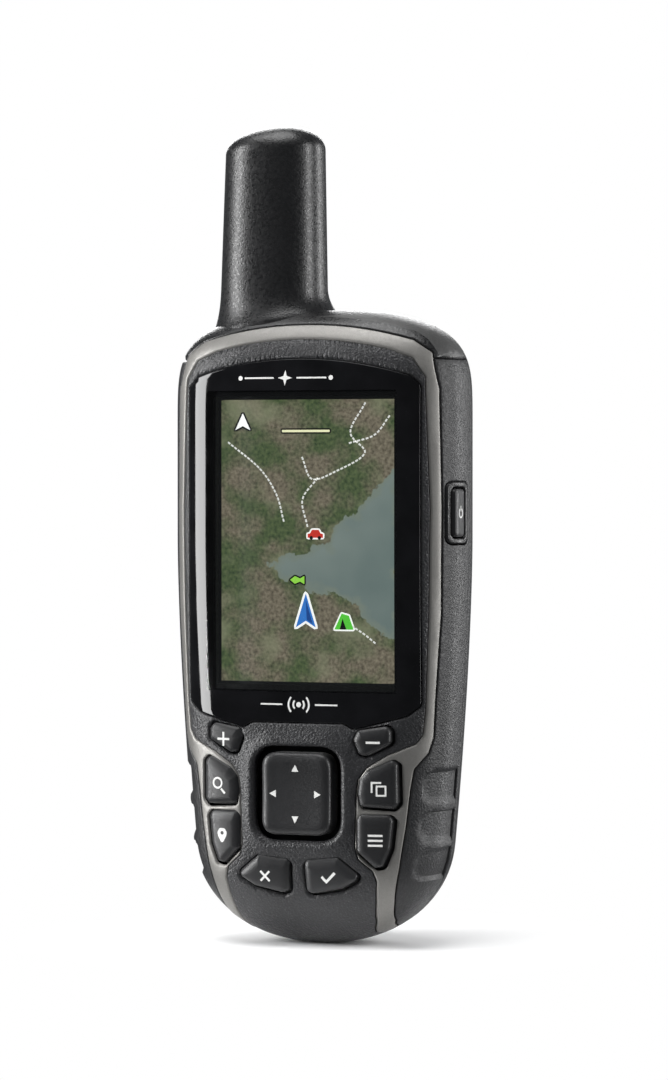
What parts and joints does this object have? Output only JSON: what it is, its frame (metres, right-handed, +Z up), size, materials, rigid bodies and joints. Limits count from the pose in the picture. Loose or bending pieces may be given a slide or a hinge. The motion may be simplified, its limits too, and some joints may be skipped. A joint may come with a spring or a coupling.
{
  "type": "handheld satellite navigator",
  "caption": "Rugged handheld satellite navigator with stub antenna, portrait colour display, front keys with rocker pad, latched rear battery door and port caps",
  "frame": {"origin": "below the centre of the bounding box, at its lowest level", "axes": "+X to the viewer's right, +Y into the back, +Z up along the antenna"},
  "size_m": [0.0597, 0.036, 0.16],
  "materials": {
    "case_plastic": "fine spark-eroded grain",
    "fascia_plastic": "coarse spark-eroded grain",
    "silver_trim": "satin metallic paint",
    "grip_rubber": "fine grained overmould",
    "key_rubber": "silk soft-touch",
    "window": "polished, black printed border",
    "display": "lit picture",
    "gasket_foam": "matt foam",
    "white_plastic": "satin",
    "board": "solder mask",
    "steel": "nickel plated",
    "gold_plate": "gold plated",
    "ceramic_core": "fired, copper strips",
    "cell_label": "printed film on steel can",
    "card_plastic": "smooth",
    "latch_plastic": "glass-filled, satin"
  },
  "bodies": {
    "navigator": {"front_case": "fascia_plastic", "silver_bezel": "silver_trim", "side_grip_left": "grip_rubber", "side_grip_right": "grip_rubber", "antenna_housing": "case_plastic", "rear_case": "case_plastic", "case_seal": "gasket_foam", "display_window": "window", "display_gasket": "gasket_foam", "lcd_panel": "display", "backlight_frame": "white_plastic", "keypad_membrane": "key_rubber", "dome_sheet": "steel", "main_board": "board", "shield_cans": "steel", "io_board": "board", "board_link": "white_plastic", "antenna_core": "ceramic_core", "antenna_cable": "gold_plate", "antenna_jack": "gold_plate", "usb_connector": "steel", "power_switch": "white_plastic", "power_button_collar": "grip_rubber", "beeper": "card_plastic", "card_socket": "steel", "memory_card": "card_plastic", "contact_springs": "steel", "contact_plates": "steel", "aa_cell_left": "cell_label", "aa_cell_right": "cell_label", "door_seal": "gasket_foam", "case_screws": "steel", "board_screws": "steel", "rocker_saddle": "white_plastic"},
    "key_zoom_in_body": {"key_zoom_in": "key_rubber"},
    "key_zoom_out_body": {"key_zoom_out": "key_rubber"},
    "key_find_body": {"key_find": "key_rubber"},
    "key_mark_body": {"key_mark": "key_rubber"},
    "key_page_body": {"key_page": "key_rubber"},
    "key_menu_body": {"key_menu": "key_rubber"},
    "key_quit_body": {"key_quit": "key_rubber"},
    "key_enter_body": {"key_enter": "key_rubber"},
    "rocker_cross_body": {"rocker_pivot": "steel"},
    "rocker_body": {"rocker_pad": "key_rubber"},
    "power_button_body": {"power_button": "key_rubber"},
    "door_body": {"battery_door": "case_plastic", "door_hinge_pins": "steel", "spine_rail": "latch_plastic", "latch_bush": "white_plastic"},
    "latch_body": {"door_latch": "latch_plastic", "latch_cam": "steel", "latch_screw": "steel"},
    "ring_body": {"d_ring": "steel"},
    "usb_cap_body": {"usb_port_cap": "grip_rubber"},
    "antenna_cap_body": {"antenna_port_cap": "grip_rubber"}
  },
  "joints": [
    {"name": "key_zoom_in_press", "type": "slide", "parent": "navigator", "child": "key_zoom_in_body", "axis": [0, 1, 0], "range_m": [0, 0.0008], "stiffness_N_per_m": 1500},
    {"name": "key_zoom_out_press", "type": "slide", "parent": "navigator", "child": "key_zoom_out_body", "axis": [0, 1, 0], "range_m": [0, 0.0008], "stiffness_N_per_m": 1500},
    {"name": "key_find_press", "type": "slide", "parent": "navigator", "child": "key_find_body", "axis": [0, 1, 0], "range_m": [0, 0.0008], "stiffness_N_per_m": 1500},
    {"name": "key_mark_press", "type": "slide", "parent": "navigator", "child": "key_mark_body", "axis": [0, 1, 0], "range_m": [0, 0.0008], "stiffness_N_per_m": 1500},
    {"name": "key_page_press", "type": "slide", "parent": "navigator", "child": "key_page_body", "axis": [0, 1, 0], "range_m": [0, 0.0008], "stiffness_N_per_m": 1500},
    {"name": "key_menu_press", "type": "slide", "parent": "navigator", "child": "key_menu_body", "axis": [0, 1, 0], "range_m": [0, 0.0008], "stiffness_N_per_m": 1500},
    {"name": "key_quit_press", "type": "slide", "parent": "navigator", "child": "key_quit_body", "axis": [0, 1, 0], "range_m": [0, 0.0008], "stiffness_N_per_m": 1500},
    {"name": "key_enter_press", "type": "slide", "parent": "navigator", "child": "key_enter_body", "axis": [0, 1, 0], "range_m": [0, 0.0008], "stiffness_N_per_m": 1500},
    {"name": "rocker_tilt_up_down", "type": "hinge", "parent": "navigator", "child": "rocker_cross_body", "pos_m": [0, -0.0099, 0.03], "axis": [1, 0, 0], "range_deg": [-4, 4], "stiffness_Nm_per_rad": 0.4},
    {"name": "rocker_tilt_left_right", "type": "hinge", "parent": "rocker_cross_body", "child": "rocker_body", "pos_m": [0, -0.0099, 0.03], "axis": [0, 0, 1], "range_deg": [-4, 4], "stiffness_Nm_per_rad": 0.4},
    {"name": "power_button_press", "type": "slide", "parent": "navigator", "child": "power_button_body", "axis": [-1, 0, 0], "range_m": [0, 0.0006], "stiffness_N_per_m": 2000},
    {"name": "battery_door_hinge", "type": "hinge", "parent": "navigator", "child": "door_body", "pos_m": [0, 0.013, 0.0836], "axis": [1, 0, 0], "range_deg": [0, 75]},
    {"name": "latch_turn", "type": "hinge", "parent": "door_body", "child": "latch_body", "pos_m": [0, 0.013, 0.0195], "axis": [0, 1, 0], "range_deg": [0, 90]},
    {"name": "d_ring_fold", "type": "hinge", "parent": "latch_body", "child": "ring_body", "pos_m": [0, 0.0166, 0.0225], "axis": [1, 0, 0], "range_deg": [0, 95]},
    {"name": "usb_port_cap_hinge", "type": "hinge", "parent": "navigator", "child": "usb_cap_body", "pos_m": [0.004, 0.013, 0.0994], "axis": [1, 0, 0], "range_deg": [0, 110]},
    {"name": "antenna_port_cap_hinge", "type": "hinge", "parent": "navigator", "child": "antenna_cap_body", "pos_m": [0.0034, 0.0124, 0.109], "axis": [0, 0, 1], "range_deg": [0, 110]}
  ]
}
